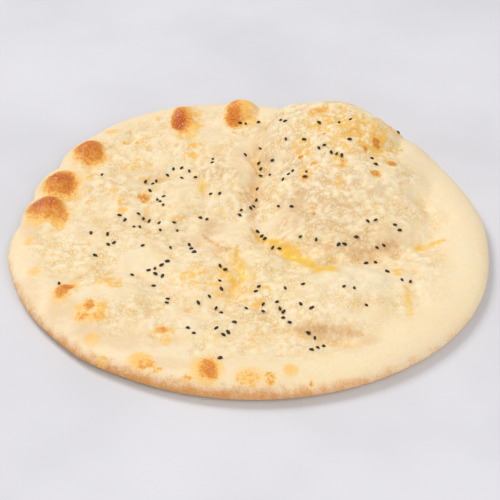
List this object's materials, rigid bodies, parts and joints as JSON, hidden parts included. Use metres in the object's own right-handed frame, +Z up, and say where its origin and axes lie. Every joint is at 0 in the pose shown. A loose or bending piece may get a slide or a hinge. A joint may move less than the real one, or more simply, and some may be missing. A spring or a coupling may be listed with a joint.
{
  "type": "butter naan",
  "caption": "Round puffed flatbread with a smooth rim, toasted rim bubbles, a large raised pocket and small dark seeds baked on.",
  "frame": {"origin": "middle of the flat underside's bounding box, on the resting plane", "axes": "+Z up, +Y to the back of the bread with the large raised pocket at the back right, +X to the right"},
  "size_m": [0.2628, 0.2644, 0.0313],
  "materials": {
    "crust": "pale baked dough, soft satin, with toasted spots and small black seeds"
  },
  "bodies": {
    "root": {"butter_naan": "crust"}
  },
  "joints": []
}
